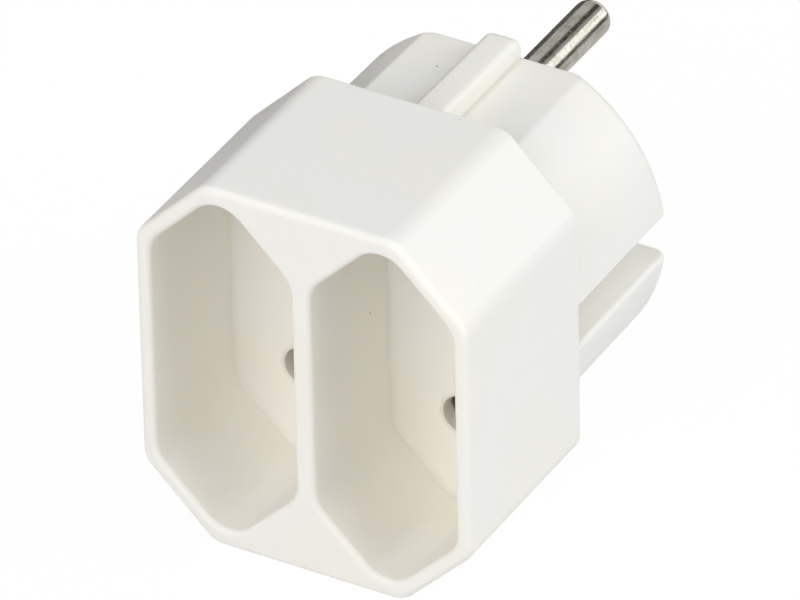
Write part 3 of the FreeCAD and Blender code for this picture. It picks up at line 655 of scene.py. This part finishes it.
# Operators


class ADAPTER_OT_dress_housings(bpy.types.Operator):
    """Give the socket block and the plug body their moulded plastic"""

    bl_idname = "adapter.dress_housings"
    bl_label = "Housings"

    def execute(self, context):
        settings = context.scene.adapter_plastic
        socket = make_plastic("socket_plastic", settings, SOCKET_PATCHES, has_entries=True)
        plug = make_plastic("plug_plastic", settings, PLUG_PATCHES, has_entries=False)
        dress("socket_housing", socket)
        dress("plug_housing", plug)
        return {"FINISHED"}


class ADAPTER_OT_dress_pins(bpy.types.Operator):
    """Give the two plug pins their worn nickel plate"""

    bl_idname = "adapter.dress_pins"
    bl_label = "Pins"

    def execute(self, context):
        nickel = make_nickel(context.scene.adapter_metal)
        for level in LEVELS:
            dress(f"pin_{level}", nickel)
        return {"FINISHED"}


class ADAPTER_OT_dress_contacts(bpy.types.Operator):
    """Give the contact bars, rivets and spring contacts their brass and bronze"""

    bl_idname = "adapter.dress_contacts"
    bl_label = "Contacts"

    def execute(self, context):
        settings = context.scene.adapter_metal
        brass = make_sheet_metal("rolled_brass", settings.brass, settings.tarnish, GRAIN_ACROSS)
        rivet = make_sheet_metal("rivet_brass", settings.brass, settings.tarnish, GRAIN_ALONG)
        bronze = make_sheet_metal("spring_bronze", settings.bronze, settings.tarnish, GRAIN_ALONG)
        for level in LEVELS:
            dress(f"contact_bar_{level}", brass)
            for side in SIDES:
                dress(f"spring_contact_{level}_{side}", bronze)
                dress(f"contact_rivet_{level}_{side}", rivet)
        return {"FINISHED"}


class ADAPTER_OT_dress_screw(bpy.types.Operator):
    """Give the closing screw its zinc plate"""

    bl_idname = "adapter.dress_screw"
    bl_label = "Closing screw"

    def execute(self, context):
        dress("closing_screw", make_zinc(context.scene.adapter_metal))
        return {"FINISHED"}


class ADAPTER_OT_build_stage(bpy.types.Operator):
    """Make the floor, the light, the cards and the camera"""

    bl_idname = "adapter.build_stage"
    bl_label = "Stage"

    def execute(self, context):
        settings = context.scene.adapter_studio
        make_floor(settings)
        for card in CARDS:
            make_card(*card)
        make_world(settings)
        make_lamp("key_light", settings.key_direction, settings.key_power, settings.light_colour)
        make_lamp("fill_light", settings.fill_direction, settings.fill_power, settings.front_colour)
        make_lamp("front_light", settings.front_direction, settings.front_power, settings.front_colour)
        make_camera(settings)
        context.scene.view_settings.view_transform = "Standard"
        return {"FINISHED"}


class ADAPTER_PT_sidebar(bpy.types.Panel):
    """Buttons and settings that dress the adapter and build its stage"""

    bl_label = "Socket Adapter"
    bl_idname = "ADAPTER_PT_sidebar"
    bl_space_type = "VIEW_3D"
    bl_region_type = "UI"
    bl_category = "Adapter"

    def draw(self, context):
        for operator in OPERATORS:
            self.layout.operator(operator.bl_idname)
        for name in SETTINGS:
            group = getattr(context.scene, name)
            box = self.layout.box()
            for prop in group.__annotations__:
                box.prop(group, prop)


OPERATORS = (
    ADAPTER_OT_dress_housings,
    ADAPTER_OT_dress_pins,
    ADAPTER_OT_dress_contacts,
    ADAPTER_OT_dress_screw,
    ADAPTER_OT_build_stage,
)
SETTINGS = {
    "adapter_plastic": PlasticSettings,
    "adapter_metal": MetalSettings,
    "adapter_studio": StudioSettings,
}


def register():
    """Adds the settings, the operators and the panel to Blender."""
    for name, group in SETTINGS.items():
        bpy.utils.register_class(group)
        setattr(bpy.types.Scene, name, bpy.props.PointerProperty(type=group))
    for operator in OPERATORS:
        bpy.utils.register_class(operator)
    bpy.utils.register_class(ADAPTER_PT_sidebar)


def unregister():
    """Takes them out again, in the opposite order."""
    bpy.utils.unregister_class(ADAPTER_PT_sidebar)
    for operator in reversed(OPERATORS):
        bpy.utils.unregister_class(operator)
    for name, group in reversed(SETTINGS.items()):
        delattr(bpy.types.Scene, name)
        bpy.utils.unregister_class(group)


def main():
    """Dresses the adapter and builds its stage."""
    register()
    bpy.ops.adapter.dress_housings()
    bpy.ops.adapter.dress_pins()
    bpy.ops.adapter.dress_contacts()
    bpy.ops.adapter.dress_screw()
    bpy.ops.adapter.build_stage()


if __name__ == "__main__":
    main()
